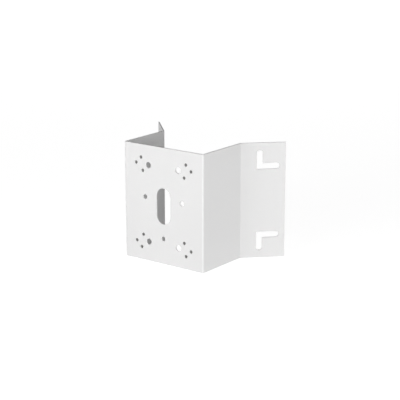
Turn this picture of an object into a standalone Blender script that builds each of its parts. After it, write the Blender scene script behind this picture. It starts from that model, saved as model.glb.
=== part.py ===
"""Corner mount bracket: one steel sheet folded into a hat section that seats over a building's outside corner.

The front plate carries the device. Two side walls fold straight back from it and clear the building's corner.
Two wings fold out from the walls by half a right angle, lie flat on the building's two faces and are screwed
to them through L-shaped slots. The plate has a tall cable slot, through holes, and tapped holes whose threads
run in collars drawn out of the sheet behind them.

Metres, +Z up. The front plate faces -Y, the origin is below the middle of the overall box, on its base.
"""

import math

import bmesh
import bpy
from mathutils import Matrix, Vector

# Sheet
SHEET = 0.0020  # thickness of the steel with its coating
BEND_INSIDE_RADIUS = 0.0005  # every fold, on its hollow side
EDGE_BREAK = 0.0003  # deburred corner on every cut edge

# Folded shape, to the sharp corners that the front skin would have without its radii
HEIGHT = 0.1750
PLATE_WIDTH = 0.1446
WALL_DEPTH = 0.0908
WING_LENGTH = 0.0669
WALL_FOLD = math.radians(90)  # each wall back from the plate
WING_FOLD = math.radians(45)  # each wing out from its wall

# Cable slot in the middle of the plate
CABLE_SLOT_WIDTH = 0.0250
CABLE_SLOT_HEIGHT = 0.0538

# Three through holes round the cable slot, a third of a turn apart, one of them straight below it
TRIANGLE_HOLE_DIAMETER = 0.0070
TRIANGLE_CIRCLE_DIAMETER = 0.0780
TRIANGLE_DROP = 0.0098  # centre of their circle below the middle of the plate

# A group of four holes in each corner of the plate, mirrored across and up
GROUP_FROM_SIDE = 0.0330  # group centre to the plate's side
GROUP_FROM_END = 0.0292  # group centre to the plate's upper or lower edge
THROUGH_HOLE_DIAMETER = 0.0090
THROUGH_HOLE_IN = 0.0121  # from the group centre towards the middle of the plate
THROUGH_HOLE_DOWN = 0.0004  # from the group centre towards mid height
TAPPED_HOLE_DIAMETER = 0.0050  # outer diameter of its thread
END_TAP_OUT = 0.0019  # tapped hole nearest the plate's end
END_TAP_UP = 0.0097
SIDE_TAP_OUT = 0.0110  # tapped hole nearest the plate's side
SIDE_TAP_UP = 0.0010
INNER_TAP_IN = 0.0013  # tapped hole nearest mid height
INNER_TAP_DOWN = 0.0097

# Collar drawn out of the sheet behind each tapped hole
COLLAR_HEIGHT = 0.0050
COLLAR_WALL_AT_ROOT = 0.0017
COLLAR_WALL_AT_TIP = 0.0012
COLLAR_FILLET = 0.0008

# L-shaped screw slots near the two ends of each wing: one arm runs along the wing, one towards its end
WING_SLOT_WIDTH = 0.0088
WING_SLOT_LONG_ARM = 0.0336  # along the wing, outside length
WING_SLOT_SHORT_ARM = 0.0281  # towards the wing's end, outside length
WING_SLOT_FROM_EDGE = 0.0092  # long arm's tip to the wing's far edge
WING_SLOT_FROM_END = 0.0116  # short arm's tip to the wing's upper or lower edge
WING_SLOT_OUTER_CORNER = 0.0010
WING_SLOT_INNER_CORNER = 0.0008

# Facets
ARC_STEP = math.radians(9)  # largest turn of one facet on folds and slot ends
HOLE_SIDES = 32
TAPPED_HOLE_SIDES = 20
COLLAR_FILLET_STEPS = 2
BREAK_STEPS = 1
OVERRUN = 0.0002  # cutters start this far outside the sheet
SAME_POINT = 0.000001  # two points nearer than this are one
COLLAR_SINK = 0.00005  # collar's fillet starts this far inside the sheet

FINISH_COLOUR = (0.83, 0.83, 0.82, 1.0)
FINISH_ROUGHNESS = 0.45


def clear_scene():
    for old in list(bpy.data.objects):
        bpy.data.objects.remove(old, do_unlink=True)


def wing_direction():
    """The right wing's run away from its fold, seen from above."""
    heading = WALL_FOLD - WING_FOLD
    return Vector((math.cos(heading), math.sin(heading), 0.0))


def wall_direction():
    """The right wall's run away from the plate, seen from above."""
    return Vector((math.cos(WALL_FOLD), math.sin(WALL_FOLD), 0.0))


def left_of(direction):
    return Vector((-direction.y, direction.x, 0.0))


def overall_depth():
    """From the plate's front skin to the wings' rearmost corners, which are broken."""
    along = wing_direction()
    through = left_of(along)
    rear_corner = wall_direction() * WALL_DEPTH + along * WING_LENGTH + through * SHEET
    return rear_corner.y - EDGE_BREAK * min(along.y, through.y)


def front_skin_y():
    return -overall_depth() / 2


def arc_points(centre, start, turn):
    """Points along an arc from start round centre, the start left out."""
    steps = max(1, math.ceil(abs(turn) / ARC_STEP - 1e-6))
    arm = start - centre
    return [centre + Matrix.Rotation(turn * k / steps, 3, "Z") @ arm for k in range(1, steps + 1)]


def right_half_section():
    """Front skin and back skin of the right half, from the middle of the plate to the wing's edge."""
    outer_radius = BEND_INSIDE_RADIUS + SHEET
    wall_setback = outer_radius * math.tan(WALL_FOLD / 2)
    wing_setback = BEND_INSIDE_RADIUS * math.tan(WING_FOLD / 2)
    along_plate = Vector((1.0, 0.0, 0.0))
    along_wall = wall_direction()
    along_wing = wing_direction()

    # Fold between plate and wall: its centre is on the back side
    wall_fold_start = Vector((PLATE_WIDTH / 2 - wall_setback, front_skin_y(), 0.0))
    wall_fold_centre = wall_fold_start + left_of(along_plate) * outer_radius
    wall_fold_back = wall_fold_start + left_of(along_plate) * SHEET
    front = [wall_fold_start] + arc_points(wall_fold_centre, wall_fold_start, WALL_FOLD)
    back = [wall_fold_back] + arc_points(wall_fold_centre, wall_fold_back, WALL_FOLD)

    # Fold between wall and wing: its centre is on the front side
    wall_flat = WALL_DEPTH - wall_setback - wing_setback
    wing_fold_start = front[-1] + along_wall * wall_flat
    wing_fold_centre = wing_fold_start - left_of(along_wall) * BEND_INSIDE_RADIUS
    wing_fold_back = wing_fold_start + left_of(along_wall) * SHEET
    front += [wing_fold_start] + arc_points(wing_fold_centre, wing_fold_start, -WING_FOLD)
    back += [wing_fold_back] + arc_points(wing_fold_centre, wing_fold_back, -WING_FOLD)

    wing_flat = WING_LENGTH - wing_setback
    front.append(front[-1] + along_wing * wing_flat)
    back.append(back[-1] + along_wing * wing_flat)
    return front, back


def folded_sheet():
    """The sheet without its holes: the folded section drawn up to the full height, all cut edges broken."""
    front, back = right_half_section()
    mirrored = Matrix.Scale(-1, 3, Vector((1.0, 0.0, 0.0)))
    front = [mirrored @ p for p in reversed(front)] + front
    back = [mirrored @ p for p in reversed(back)] + back
    bm = bmesh.new()
    section = bm.faces.new([bm.verts.new(p) for p in front + back[::-1]])
    raised = bmesh.ops.extrude_face_region(bm, geom=[section])
    top = [item for item in raised["geom"] if isinstance(item, bmesh.types.BMVert)]
    bmesh.ops.translate(bm, verts=top, vec=(0.0, 0.0, HEIGHT))
    bmesh.ops.recalc_face_normals(bm, faces=bm.faces)
    cut_edges = [edge for edge in bm.edges if edge.calc_face_angle() > math.radians(80)]
    bmesh.ops.bevel(
        bm,
        geom=cut_edges,
        offset=EDGE_BREAK,
        offset_type="OFFSET",
        segments=BREAK_STEPS,
        profile=0.5,
        affect="EDGES",
        clamp_overlap=True,
    )
    return bm


def face_frame(origin, along):
    """A frame on a front skin: local X along the sheet, local Y up, local Z out of the skin."""
    up = Vector((0.0, 0.0, 1.0))
    frame = Matrix((along, up, along.cross(up))).transposed().to_4x4()
    frame.translation = origin
    return frame


def plate_frame():
    return face_frame(Vector((0.0, front_skin_y(), HEIGHT / 2)), Vector((1.0, 0.0, 0.0)))


def wing_frame():
    corner = Vector((PLATE_WIDTH / 2, front_skin_y(), HEIGHT / 2)) + wall_direction() * WALL_DEPTH
    return face_frame(corner, wing_direction())


def turned(bm, frame, profile, sides):
    """Adds a closed turned solid on the frame's Z axis: profile is (radius, depth below the skin) pairs."""
    points = [bm.verts.new(frame @ Vector((radius, 0.0, -depth))) for radius, depth in profile]
    lines = [bm.edges.new(pair) for pair in zip(points, points[1:])]
    bmesh.ops.spin(
        bm,
        geom=points + lines,
        cent=frame.translation,
        axis=frame.to_3x3() @ Vector((0.0, 0.0, 1.0)),
        angle=2 * math.pi,
        steps=sides,
        use_merge=True,
        use_duplicate=False,
    )
    rims = [edge for edge in bm.edges if edge.is_boundary]
    bmesh.ops.holes_fill(bm, edges=rims, sides=0)


def broken_cut(depth):
    """How a cutter widens past each skin of a wall this deep: (growth, depth below the skin) pairs."""
    past = EDGE_BREAK + OVERRUN
    return ((past, -OVERRUN), (0.0, EDGE_BREAK), (0.0, depth - EDGE_BREAK), (past, depth + OVERRUN))


def round_cut(bm, frame, diameter, depth, sides):
    profile = [(diameter / 2 + growth, level) for growth, level in broken_cut(depth)]
    turned(bm, frame, profile, sides)


def rounded_outline(corners, growth):
    """A closed outline with its corners rounded, grown outwards: corners are (x, y, radius), anticlockwise."""
    points = []
    count = len(corners)
    for k, (x, y, radius) in enumerate(corners):
        here = Vector((x, y, 0.0))
        before = Vector((*corners[k - 1][:2], 0.0))
        after = Vector((*corners[(k + 1) % count][:2], 0.0))
        arriving = (here - before).normalized()
        leaving = (after - here).normalized()
        turn = math.atan2(arriving.cross(leaving).z, arriving.dot(leaving))
        side = 1.0 if turn > 0 else -1.0
        setback = radius * math.tan(abs(turn) / 2)
        start = here - arriving * setback
        centre = start + left_of(arriving) * radius * side
        grown_start = centre + (start - centre).normalized() * (radius + growth * side)
        points.append(grown_start)
        points += arc_points(centre, grown_start, turn)
    return [p for k, p in enumerate(points) if (p - points[k - 1]).length > SAME_POINT]


def shaped_cut(bm, frame, corners, depth):
    """Adds a cutter of any rounded outline, lofted through its widening ends."""
    rings = []
    for growth, level in broken_cut(depth):
        outline = rounded_outline(corners, growth)
        rings.append([bm.verts.new(frame @ Vector((p.x, p.y, -level))) for p in outline])
    for lower, upper in zip(rings, rings[1:]):
        for k in range(len(lower)):
            bm.faces.new((lower[k - 1], lower[k], upper[k], upper[k - 1]))
    bm.faces.new(rings[0])
    bm.faces.new(rings[-1])


def corner_places(out, up):
    """The four places of a hole in the plate's corner groups, measured outwards from the group centre."""
    across = PLATE_WIDTH / 2 - GROUP_FROM_SIDE + out
    height = HEIGHT / 2 - GROUP_FROM_END + up
    return [Vector((sx * across, sy * height, 0.0)) for sx in (-1, 1) for sy in (-1, 1)]


def tapped_places():
    return (
        corner_places(END_TAP_OUT, END_TAP_UP)
        + corner_places(SIDE_TAP_OUT, SIDE_TAP_UP)
        + corner_places(-INNER_TAP_IN, -INNER_TAP_DOWN)
    )


def triangle_places():
    reach = TRIANGLE_CIRCLE_DIAMETER / 2
    angles = [math.radians(-90 + 120 * k) for k in range(3)]
    return [Vector((reach * math.cos(a), reach * math.sin(a) - TRIANGLE_DROP, 0.0)) for a in angles]


def collars():
    """The material drawn out behind the tapped holes, before they are bored."""
    root = TAPPED_HOLE_DIAMETER / 2 + COLLAR_WALL_AT_ROOT
    tip = TAPPED_HOLE_DIAMETER / 2 + COLLAR_WALL_AT_TIP
    fillet_top = SHEET - COLLAR_SINK + COLLAR_FILLET
    end = SHEET + COLLAR_HEIGHT
    profile = [(root + COLLAR_FILLET, SHEET / 2)]
    for k in range(COLLAR_FILLET_STEPS + 1):
        turn = math.pi / 2 * k / COLLAR_FILLET_STEPS
        away = COLLAR_FILLET * (1 - math.sin(turn))
        down = COLLAR_FILLET * math.cos(turn)
        profile.append((root + away, fillet_top - down))
    profile += [(tip, end - EDGE_BREAK), (tip - EDGE_BREAK, end)]
    bm = bmesh.new()
    for place in tapped_places():
        turned(bm, plate_frame() @ Matrix.Translation(place), profile, TAPPED_HOLE_SIDES)
    return bm


def plate_cuts():
    """Every opening in the front plate."""
    bm = bmesh.new()
    frame = plate_frame()
    for place in tapped_places():
        at_hole = frame @ Matrix.Translation(place)
        round_cut(bm, at_hole, TAPPED_HOLE_DIAMETER, SHEET + COLLAR_HEIGHT, TAPPED_HOLE_SIDES)
    for place in corner_places(-THROUGH_HOLE_IN, -THROUGH_HOLE_DOWN):
        round_cut(bm, frame @ Matrix.Translation(place), THROUGH_HOLE_DIAMETER, SHEET, HOLE_SIDES)
    for place in triangle_places():
        round_cut(bm, frame @ Matrix.Translation(place), TRIANGLE_HOLE_DIAMETER, SHEET, HOLE_SIDES)
    half_width = CABLE_SLOT_WIDTH / 2
    half_height = CABLE_SLOT_HEIGHT / 2
    slot = [
        (-half_width, -half_height, half_width),
        (half_width, -half_height, half_width),
        (half_width, half_height, half_width),
        (-half_width, half_height, half_width),
    ]
    shaped_cut(bm, frame, slot, SHEET)
    return bm


def wing_slot_corners():
    """The upper L-shaped slot of the right wing, from its outer corner round the long arm to the short one."""
    end_radius = WING_SLOT_WIDTH / 2
    far = WING_LENGTH - WING_SLOT_FROM_EDGE
    near = far - WING_SLOT_LONG_ARM
    high = HEIGHT / 2 - WING_SLOT_FROM_END
    low = high - WING_SLOT_SHORT_ARM
    return [
        (near, low, WING_SLOT_OUTER_CORNER),
        (far, low, end_radius),
        (far, low + WING_SLOT_WIDTH, end_radius),
        (near + WING_SLOT_WIDTH, low + WING_SLOT_WIDTH, WING_SLOT_INNER_CORNER),
        (near + WING_SLOT_WIDTH, high, end_radius),
        (near, high, end_radius),
    ]


def wing_cuts():
    """The right wing's two slots, the lower one the upper one turned over."""
    bm = bmesh.new()
    upper = wing_slot_corners()
    lower = [(x, -y, radius) for x, y, radius in reversed(upper)]
    for corners in (upper, lower):
        shaped_cut(bm, wing_frame(), corners, SHEET)
    return bm


def finish_material():
    """White powder coat on steel."""
    material = bpy.data.materials.new("white_powder_coat")
    material.use_nodes = True
    shader = material.node_tree.nodes["Principled BSDF"]
    shader.inputs["Base Color"].default_value = FINISH_COLOUR
    shader.inputs["Roughness"].default_value = FINISH_ROUGHNESS
    shader.inputs["Metallic"].default_value = 0.0
    return material


def add_object(name, bm):
    """Puts a bmesh into the scene as an object, faces out."""
    bmesh.ops.recalc_face_normals(bm, faces=bm.faces)
    mesh = bpy.data.meshes.new(name)
    bm.to_mesh(mesh)
    bm.free()
    obj = bpy.data.objects.new(name, mesh)
    bpy.context.scene.collection.objects.link(obj)
    return obj


def add_tool(name, bm):
    """An object that only shapes the sheet."""
    tool = add_object(name, bm)
    tool.display_type = "WIRE"
    tool.hide_render = True
    return tool


def combine(obj, tool, operation):
    step = obj.modifiers.new(tool.name, "BOOLEAN")
    step.object = tool
    step.operation = operation
    step.solver = "EXACT"


def mirror_across(obj):
    """Repeats what is on the right wing on the left one."""
    step = obj.modifiers.new("left_side", "MIRROR")
    step.use_axis = (True, False, False)
    step.use_mirror_merge = False
    step.merge_threshold = 0.0001


def settle_shape(obj):
    """Turns the modifier results into the object's own mesh and shades its round surfaces smooth."""
    bpy.context.view_layer.update()
    evaluated = obj.evaluated_get(bpy.context.evaluated_depsgraph_get())
    mesh = bpy.data.meshes.new_from_object(evaluated)
    mesh.name = obj.name
    obj.modifiers.clear()
    obj.data = mesh
    mesh.shade_smooth()
    mesh.set_sharp_from_angle(angle=math.radians(30))
    weighted = obj.modifiers.new("flat_faces_stay_flat", "WEIGHTED_NORMAL")
    weighted.keep_sharp = True


def build():
    clear_scene()
    bracket = add_object("folded_bracket", folded_sheet())
    combine(bracket, add_tool("collar_forms", collars()), "UNION")
    combine(bracket, add_tool("plate_cutters", plate_cuts()), "DIFFERENCE")
    slots = add_tool("wing_cutters", wing_cuts())
    mirror_across(slots)
    combine(bracket, slots, "DIFFERENCE")
    settle_shape(bracket)
    bracket.data.materials.clear()
    bracket.data.materials.append(finish_material())


build()
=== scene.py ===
"""Looks of the corner mount bracket: white powder-coated sheet steel with cut threads in its tapped holes.

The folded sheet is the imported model's own node. This script gives it a coat with soft edges and a fine orange
peel, adds the threads, and sets the floor, the light and the camera. Metres, +Z up, front plate facing -Y.
"""

import math

import bmesh
import bpy
from mathutils import Matrix, Vector


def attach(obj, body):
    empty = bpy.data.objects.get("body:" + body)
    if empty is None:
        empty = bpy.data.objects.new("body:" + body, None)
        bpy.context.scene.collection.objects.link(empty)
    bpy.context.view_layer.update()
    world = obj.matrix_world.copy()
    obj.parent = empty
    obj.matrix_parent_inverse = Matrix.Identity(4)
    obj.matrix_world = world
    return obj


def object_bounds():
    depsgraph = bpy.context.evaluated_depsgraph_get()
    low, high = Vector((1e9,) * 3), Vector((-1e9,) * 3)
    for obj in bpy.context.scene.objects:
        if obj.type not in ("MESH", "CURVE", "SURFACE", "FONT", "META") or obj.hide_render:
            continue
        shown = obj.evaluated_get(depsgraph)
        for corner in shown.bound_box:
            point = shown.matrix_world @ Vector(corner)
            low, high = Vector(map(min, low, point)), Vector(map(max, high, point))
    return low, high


SHEET_NODE = "folded_bracket"
BODY = "root"

# Camera: where it looks, from where, and its field of view
CAMERA_TARGET = Vector((0.0140, 0.0, 0.0847))
CAMERA_AZIMUTH = math.radians(37.09)  # round the object from its front towards its right side
CAMERA_ELEVATION = math.radians(15.20)
CAMERA_DISTANCE = 1.910
CAMERA_LENS = 115.8  # mm, on Blender's 36 mm sensor

# Light. Azimuths go round the object from its front towards its right side
HORIZON_STRENGTH = 0.50  # of the world's light near the horizon
HORIZON_BAND = (0.15, 0.60)  # sines of the elevations where that light begins to fade and where it ends
BRIGHT_SIDE_STRENGTH = 1.08  # added in the middle of the world's bright side
BRIGHT_SIDE_AZIMUTH = math.radians(45)
BACKGROUND_STRENGTH = 1.0  # of the world where it is seen directly
SMALL_STRIP_SIZE = (0.6, 0.15)  # width and height of softboxes
SLIM_STRIP_SIZE = (1.3, 0.20)
WIDE_STRIP_SIZE = (2.1, 0.40)
LAMPS = (  # name, azimuth and elevation in degrees, distance, size, power in watts
    ("front", 0, 6, 1.0, SMALL_STRIP_SIZE, 5.8),
    ("right", 82, 0, 4.0, SLIM_STRIP_SIZE, 68.0),
    ("back", 150, 3, 4.0, WIDE_STRIP_SIZE, 25.0),
    ("left", 222, 3, 4.0, WIDE_STRIP_SIZE, 60.0),
)
WHITE = (1.0, 1.0, 1.0, 1.0)

# Floor
FLOOR_RADIUS = 6.0
FLOOR_SIDES = 96
FLOOR_COLOUR = (0.5, 0.5, 0.5, 1.0)
FLOOR_ROUGHNESS = 0.9
FLOOR_GLOW = 0.895  # added where the floor is seen directly

# Powder coat. Each noise has a scale, in cycles for each metre, and a detail
COAT_COLOUR = (0.855, 0.853, 0.852, 1.0)
COAT_COLOUR_DEEP = (0.835, 0.833, 0.832, 1.0)  # where its clouds are darkest
COAT_PIT_SHADE_COLOUR = (0.783, 0.781, 0.780, 1.0)  # painted shade in the pits of its grain
COAT_CLOUDS = (9.0, 3.0)
COAT_PEEL = (520.0, 1.0)
COAT_GRAIN = (2600.0, 2.0)
COAT_ROUGHNESS = (0.60, 0.72)
COAT_PEEL_HEIGHT = 0.000180
COAT_GRAIN_HEIGHT = 0.000080

NOISE_MIDDLE = (0.25, 0.75)  # between these lies nearly all of a noise

# Shading of the coated sheet
WELD_DISTANCE = 0.000005
FLAT_ANGLE = math.radians(1)  # faces that meet at less than this are one flat face

# Tapped holes and their threads
COLLARS_ACROSS = 0.058  # the collars lie within this of the plate's middle, and the side walls don't
COLLARS_BEHIND = 0.02  # and within this of its face
COLLAR_LEVEL_TOLERANCE = 0.00002
COLLAR_REACH = 0.0045  # a collar's end ring lies within this of its axis
THREAD_OUTER_RADIUS = 0.0025
THREAD_PITCH = 0.0008
THREAD_DEPTH = 0.000433
THREAD_CREST = 0.0002
THREAD_GAP = 0.00001  # between the feet of neighbouring turns
THREAD_SUNK = 0.00002  # foot of the ridge inside the bore's wall
THREAD_STEPS = 32  # for each turn
THREAD_RUN_OUT = 0.35  # turns over which the ridge grows and fades
THREAD_LEAST_GROWTH = 0.08  # share of its depth that it has at its very ends
THREAD_SHARP_ANGLE = math.radians(25)
THREAD_CLEAR = 0.0003  # from each mouth of the bore to the ridge
STEEL_COLOUR = (0.40, 0.40, 0.39, 1.0)
STEEL_COLOUR_DARK = (0.30, 0.30, 0.29, 1.0)
STEEL_ROUGHNESS = (0.34, 0.50)
STEEL_STREAKS = (1400.0, 3.0)
STEEL_STREAK_STRETCH = (1.0, 4.0, 1.0)
STEEL_STREAK_HEIGHT = 0.000006


def feed(tree, socket, value):
    """Links another socket to this one, or sets this one to a plain value."""
    if isinstance(value, bpy.types.NodeSocket):
        tree.links.new(value, socket)
    else:
        socket.default_value = value


def arithmetic(tree, operation, *values):
    """What a Math node makes of values or sockets."""
    node = tree.nodes.new("ShaderNodeMath")
    node.operation = operation
    for socket, value in zip(node.inputs, values):
        feed(tree, socket, value)
    return node.outputs["Value"]


def noise(tree, coordinates, scale, detail):
    """A noise over the surface, from 0 to 1."""
    node = tree.nodes.new("ShaderNodeTexNoise")
    node.inputs["Scale"].default_value = scale
    node.inputs["Detail"].default_value = detail
    tree.links.new(coordinates, node.inputs["Vector"])
    return node.outputs["Fac"]


def blended(tree, factor, first, second):
    """A colour between two, each a value or a socket, by a factor."""
    node = tree.nodes.new("ShaderNodeMix")
    node.data_type = "RGBA"
    feed(tree, node.inputs["A"], first)
    feed(tree, node.inputs["B"], second)
    feed(tree, node.inputs["Factor"], factor)
    return node.outputs["Result"]


def ranged(tree, factor, span):
    """A noise's middle stretched over a span of values."""
    node = tree.nodes.new("ShaderNodeMapRange")
    node.inputs["From Min"].default_value = NOISE_MIDDLE[0]
    node.inputs["From Max"].default_value = NOISE_MIDDLE[1]
    node.inputs["To Min"].default_value = span[0]
    node.inputs["To Max"].default_value = span[1]
    tree.links.new(factor, node.inputs["Value"])
    return node.outputs["Result"]


def bumped(tree, height, distance, under=None):
    """A normal bent by a height, over another bent normal if there is one."""
    node = tree.nodes.new("ShaderNodeBump")
    node.inputs["Strength"].default_value = 1.0
    node.inputs["Distance"].default_value = distance
    tree.links.new(height, node.inputs["Height"])
    if under is not None:
        tree.links.new(under, node.inputs["Normal"])
    return node.outputs["Normal"]


def new_material(name):
    """A material with its node tree, its shader and the object's coordinates."""
    material = bpy.data.materials.new(name)
    material.use_nodes = True
    tree = material.node_tree
    shader = tree.nodes["Principled BSDF"]
    coordinates = tree.nodes.new("ShaderNodeTexCoord").outputs["Object"]
    return material, tree, shader, coordinates


def powder_coat():
    """White powder coat, satin: orange peel 2 mm wide, a finer grain on it with painted shade in its pits, and
    faint clouds in its tone.
    """
    material, tree, shader, coordinates = new_material("white_powder_coat")
    clouds = noise(tree, coordinates, *COAT_CLOUDS)
    peel = noise(tree, coordinates, *COAT_PEEL)
    grain = noise(tree, coordinates, *COAT_GRAIN)
    cloudy = blended(tree, clouds, COAT_COLOUR_DEEP, COAT_COLOUR)
    # Painted shade: the colour darkens towards the pit colour in the grain's low spots, as if less light
    # reaches them
    out_of_pit_shade = ranged(tree, grain, (0.0, 1.0))
    tree.links.new(blended(tree, out_of_pit_shade, COAT_PIT_SHADE_COLOUR, cloudy), shader.inputs["Base Color"])
    tree.links.new(ranged(tree, peel, COAT_ROUGHNESS), shader.inputs["Roughness"])
    fine = bumped(tree, grain, COAT_GRAIN_HEIGHT)
    tree.links.new(bumped(tree, peel, COAT_PEEL_HEIGHT, fine), shader.inputs["Normal"])
    return material


def cut_steel():
    """Bare steel of a cut thread, with the streaks that the tap leaves."""
    material, tree, shader, coordinates = new_material("cut_thread_steel")
    stretch = tree.nodes.new("ShaderNodeMapping")
    stretch.inputs["Scale"].default_value = STEEL_STREAK_STRETCH
    tree.links.new(coordinates, stretch.inputs["Vector"])
    streaks = noise(tree, stretch.outputs["Vector"], *STEEL_STREAKS)
    tree.links.new(blended(tree, streaks, STEEL_COLOUR_DARK, STEEL_COLOUR), shader.inputs["Base Color"])
    tree.links.new(ranged(tree, streaks, STEEL_ROUGHNESS), shader.inputs["Roughness"])
    tree.links.new(bumped(tree, streaks, STEEL_STREAK_HEIGHT), shader.inputs["Normal"])
    shader.inputs["Metallic"].default_value = 1.0
    return material


def flat_face_weight(group):
    """For each facet, the squared area of the whole flat face that it is a piece of."""
    angle = group.nodes.new("GeometryNodeInputMeshEdgeAngle")
    turns = group.nodes.new("FunctionNodeCompare")
    turns.data_type = "FLOAT"
    turns.operation = "GREATER_THAN"
    turns.inputs["B"].default_value = FLAT_ANGLE
    flats = group.nodes.new("GeometryNodeEdgesToFaceGroups")
    facet = group.nodes.new("GeometryNodeInputMeshFaceArea")
    whole = group.nodes.new("GeometryNodeAccumulateField")
    whole.data_type = "FLOAT"
    whole.domain = "FACE"
    group.links.new(angle.outputs["Unsigned Angle"], turns.inputs["A"])
    group.links.new(turns.outputs["Result"], flats.inputs["Boundary Edges"])
    group.links.new(flats.outputs["Face Group ID"], whole.inputs["Group ID"])
    group.links.new(facet.outputs["Area"], whole.inputs["Value"])
    return arithmetic(group, "MULTIPLY", whole.outputs["Total"], whole.outputs["Total"])


def soft_edge_nodes():
    """A node group that shades the sheet smooth: big faces stay flat and the narrow ones blend between.

    The blended normals get unit length, so that every program that reads the mesh can use them.
    """
    group = bpy.data.node_groups.new("soft_edges", "GeometryNodeTree")
    group.interface.new_socket("Geometry", in_out="INPUT", socket_type="NodeSocketGeometry")
    group.interface.new_socket("Geometry", in_out="OUTPUT", socket_type="NodeSocketGeometry")
    entry = group.nodes.new("NodeGroupInput")
    leave = group.nodes.new("NodeGroupOutput")
    weld = group.nodes.new("GeometryNodeMergeByDistance")
    weld.inputs["Distance"].default_value = WELD_DISTANCE
    bare = group.nodes.new("GeometryNodeRemoveAttribute")
    bare.inputs["Name"].default_value = "custom_normal"
    smooth = group.nodes.new("GeometryNodeSetShadeSmooth")
    smooth.domain = "FACE"
    smooth.inputs["Shade Smooth"].default_value = True
    facing = group.nodes.new("GeometryNodeInputNormal")
    weighted = group.nodes.new("ShaderNodeVectorMath")
    weighted.operation = "SCALE"
    on_faces = group.nodes.new("GeometryNodeFieldOnDomain")
    on_faces.domain = "FACE"
    on_faces.data_type = "FLOAT_VECTOR"
    unit = group.nodes.new("ShaderNodeVectorMath")
    unit.operation = "NORMALIZE"
    blend = group.nodes.new("GeometryNodeSetMeshNormal")
    blend.mode = "FREE"
    blend.domain = "POINT"
    link = group.links.new
    link(entry.outputs["Geometry"], weld.inputs["Geometry"])
    link(weld.outputs["Geometry"], bare.inputs["Geometry"])
    link(bare.outputs["Geometry"], smooth.inputs["Geometry"])
    link(facing.outputs["True Normal"], weighted.inputs["Vector"])
    link(flat_face_weight(group), weighted.inputs["Scale"])
    link(weighted.outputs["Vector"], on_faces.inputs["Value"])
    link(on_faces.outputs["Value"], unit.inputs["Vector"])
    link(smooth.outputs["Geometry"], blend.inputs["Mesh"])
    link(unit.outputs["Vector"], blend.inputs["Custom Normal"])
    link(blend.outputs["Mesh"], leave.inputs["Geometry"])
    return group


def dress_sheet(sheet):
    """Gives the folded sheet its coat and its soft edges."""
    sheet.data.materials.clear()
    sheet.data.materials.append(powder_coat())
    soft = sheet.modifiers.new("soft_edges", "NODES")
    soft.node_group = soft_edge_nodes()


def tapped_bores(sheet):
    """Mouth of every tapped hole, and their depth, read off the collars behind the front plate."""
    points = [v.co for v in sheet.data.vertices]
    front = min(p.y for p in points)
    middle_height = (cad_low.z + cad_high.z) / 2
    inside = [p for p in points if abs(p.x) < COLLARS_ACROSS and p.y < front + COLLARS_BEHIND]
    level = max(p.y for p in inside)
    ring = [p for p in inside if abs(p.y - level) < COLLAR_LEVEL_TOLERANCE]
    groups = []
    for p in ring:
        near = [g for g in groups if (g[0] - p).length < 2 * COLLAR_REACH]
        if near:
            near[0].append(p)
        else:
            groups.append([p])
    bores = []
    for g in groups:
        middle_x = (min(p.x for p in g) + max(p.x for p in g)) / 2
        middle_z = (min(p.z for p in g) + max(p.z for p in g)) / 2
        bores.append(Vector((middle_x, front, middle_z)))
    return sorted(bores, key=lambda b: (b.z < middle_height, b.x, b.z)), level - front


def thread_mesh(depth):
    """A right-hand internal thread: one ridge wound along the bore, its foot just inside the wall."""
    turns = (depth - 2 * THREAD_CLEAR - THREAD_PITCH) / THREAD_PITCH
    foot = (THREAD_PITCH - THREAD_GAP) / 2
    crest = THREAD_CREST / 2
    wall = THREAD_OUTER_RADIUS + THREAD_SUNK
    bm = bmesh.new()
    rings = []
    count = round(turns * THREAD_STEPS)
    for k in range(count + 1):
        turn = k / THREAD_STEPS
        growth = min(1.0, turn / THREAD_RUN_OUT, (turns - turn) / THREAD_RUN_OUT)
        growth = max(THREAD_LEAST_GROWTH, growth)
        tip = THREAD_OUTER_RADIUS - THREAD_DEPTH * growth
        middle = THREAD_CLEAR + THREAD_PITCH * (turn + 0.5)
        section = ((wall, -foot), (tip, -crest), (tip, crest), (wall, foot))
        angle = 2 * math.pi * turn
        ring = []
        for radius, along in section:
            place = (radius * math.cos(angle), radius * math.sin(angle), middle + along)
            ring.append(bm.verts.new(place))
        rings.append(ring)
    for before, after in zip(rings, rings[1:]):
        for k in range(len(before)):
            bm.faces.new((before[k - 1], before[k], after[k], after[k - 1]))
    bm.faces.new(rings[0])
    bm.faces.new(rings[-1])
    bmesh.ops.recalc_face_normals(bm, faces=bm.faces)
    mesh = bpy.data.meshes.new("thread")
    bm.to_mesh(mesh)
    bm.free()
    mesh.shade_smooth()
    mesh.set_sharp_from_angle(angle=THREAD_SHARP_ANGLE)
    return mesh


def add_threads(sheet):
    """One thread in each tapped hole."""
    bores, depth = tapped_bores(sheet)
    mesh = thread_mesh(depth)
    mesh.materials.append(cut_steel())
    inwards = Matrix.Rotation(math.radians(-90), 4, "X")
    for number, bore in enumerate(bores, start=1):
        thread = bpy.data.objects.new(f"thread_{number:02d}", mesh)
        bpy.context.scene.collection.objects.link(thread)
        thread.matrix_world = Matrix.Translation(bore) @ inwards
        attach(thread, BODY)


def seen_directly(tree):
    """1 for camera, glossy and transmission rays, 0 for the rest."""
    path = tree.nodes.new("ShaderNodeLightPath")
    plain = arithmetic(tree, "MAXIMUM", path.outputs["Is Camera Ray"], path.outputs["Is Glossy Ray"])
    return arithmetic(tree, "MAXIMUM", plain, path.outputs["Is Transmission Ray"])


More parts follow.
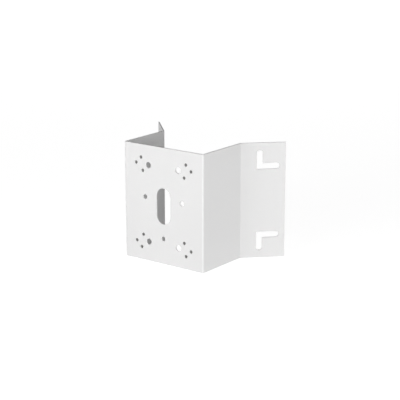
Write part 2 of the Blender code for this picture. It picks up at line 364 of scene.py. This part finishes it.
def horizon_light(tree):
    """Strength of the world's light: strong near the horizon, more so on one side, and none high up."""
    direction = tree.nodes.new("ShaderNodeTexCoord").outputs["Generated"]
    parts = tree.nodes.new("ShaderNodeSeparateXYZ")
    fade = tree.nodes.new("ShaderNodeMapRange")
    fade.inputs["From Min"].default_value = HORIZON_BAND[0]
    fade.inputs["From Max"].default_value = HORIZON_BAND[1]
    fade.inputs["To Min"].default_value = 1.0
    fade.inputs["To Max"].default_value = 0.0
    tree.links.new(direction, parts.inputs["Vector"])
    tree.links.new(parts.outputs["Z"], fade.inputs["Value"])
    towards = tree.nodes.new("ShaderNodeVectorMath")
    towards.operation = "DOT_PRODUCT"
    tree.links.new(direction, towards.inputs[0])
    towards.inputs[1].default_value = direction_from(BRIGHT_SIDE_AZIMUTH, 0.0)
    nearness = arithmetic(tree, "MAXIMUM", towards.outputs["Value"], 0.0)
    bright_side = arithmetic(tree, "MULTIPLY", nearness, nearness)
    strength = arithmetic(tree, "MULTIPLY_ADD", bright_side, BRIGHT_SIDE_STRENGTH, HORIZON_STRENGTH)
    return arithmetic(tree, "MULTIPLY", strength, fade.outputs["Result"])


def set_world():
    """White where it is seen directly, and for all other rays a soft ring of light round the horizon."""
    world = bpy.data.worlds.new("studio")
    bpy.context.scene.world = world
    world.use_nodes = True
    tree = world.node_tree
    tree.nodes.clear()
    light = tree.nodes.new("ShaderNodeBackground")
    light.inputs["Color"].default_value = WHITE
    tree.links.new(horizon_light(tree), light.inputs["Strength"])
    backdrop = tree.nodes.new("ShaderNodeBackground")
    backdrop.inputs["Color"].default_value = WHITE
    backdrop.inputs["Strength"].default_value = BACKGROUND_STRENGTH
    choice = tree.nodes.new("ShaderNodeMixShader")
    output = tree.nodes.new("ShaderNodeOutputWorld")
    tree.links.new(seen_directly(tree), choice.inputs["Fac"])
    tree.links.new(light.outputs["Background"], choice.inputs[1])
    tree.links.new(backdrop.outputs["Background"], choice.inputs[2])
    tree.links.new(choice.outputs["Shader"], output.inputs["Surface"])
    world.cycles.sampling_method = "NONE"


def add_floor(level):
    """A pale round floor that fades into the background and keeps a faint shadow."""
    bm = bmesh.new()
    bmesh.ops.create_circle(bm, cap_ends=True, radius=FLOOR_RADIUS, segments=FLOOR_SIDES)
    mesh = bpy.data.meshes.new("floor")
    bm.to_mesh(mesh)
    bm.free()
    floor = bpy.data.objects.new("floor", mesh)
    floor.location.z = level
    bpy.context.scene.collection.objects.link(floor)
    material = bpy.data.materials.new("pale_floor")
    material.use_nodes = True
    tree = material.node_tree
    shader = tree.nodes["Principled BSDF"]
    shader.inputs["Base Color"].default_value = FLOOR_COLOUR
    shader.inputs["Roughness"].default_value = FLOOR_ROUGHNESS
    shader.inputs["Specular IOR Level"].default_value = 0.0
    glow = arithmetic(tree, "MULTIPLY", seen_directly(tree), FLOOR_GLOW)
    shader.inputs["Emission Color"].default_value = WHITE
    tree.links.new(glow, shader.inputs["Emission Strength"])
    mesh.materials.append(material)


def direction_from(azimuth, elevation):
    """Unit vector from the object outwards: azimuth 0 is to its front, and 90 degrees to its right."""
    level = math.cos(elevation)
    return Vector((math.sin(azimuth) * level, -math.cos(azimuth) * level, math.sin(elevation)))


def add_lamp(name, azimuth, elevation, distance, size, power):
    """A soft lamp that looks at the middle of the object."""
    data = bpy.data.lights.new(name, "AREA")
    data.shape = "RECTANGLE"
    data.size, data.size_y = size
    data.energy = power
    lamp = bpy.data.objects.new(name, data)
    towards = direction_from(math.radians(azimuth), math.radians(elevation))
    lamp.location = (cad_low + cad_high) / 2 + towards * distance
    lamp.rotation_euler = towards.to_track_quat("Z", "Y").to_euler()
    lamp.visible_camera = False
    lamp.visible_glossy = False
    bpy.context.scene.collection.objects.link(lamp)


def add_camera():
    """The camera, level from side to side."""
    data = bpy.data.cameras.new("camera")
    data.lens = CAMERA_LENS
    camera = bpy.data.objects.new("camera", data)
    camera.location = CAMERA_TARGET + direction_from(CAMERA_AZIMUTH, CAMERA_ELEVATION) * CAMERA_DISTANCE
    camera.rotation_euler = (math.radians(90) - CAMERA_ELEVATION, 0.0, CAMERA_AZIMUTH)
    bpy.context.scene.collection.objects.link(camera)
    bpy.context.scene.camera = camera


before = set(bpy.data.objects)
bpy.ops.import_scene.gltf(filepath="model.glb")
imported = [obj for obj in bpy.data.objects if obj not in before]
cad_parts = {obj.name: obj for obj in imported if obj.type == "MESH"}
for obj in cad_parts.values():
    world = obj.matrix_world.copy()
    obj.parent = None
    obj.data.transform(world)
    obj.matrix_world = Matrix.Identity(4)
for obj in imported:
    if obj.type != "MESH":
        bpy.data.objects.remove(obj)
cad_low, cad_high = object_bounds()
bpy.context.scene.view_settings.view_transform = "Standard"
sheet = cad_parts[SHEET_NODE]
add_camera()
add_threads(sheet)
dress_sheet(sheet)
set_world()
add_floor(cad_low.z)
for lamp_facts in LAMPS:
    add_lamp(*lamp_facts)
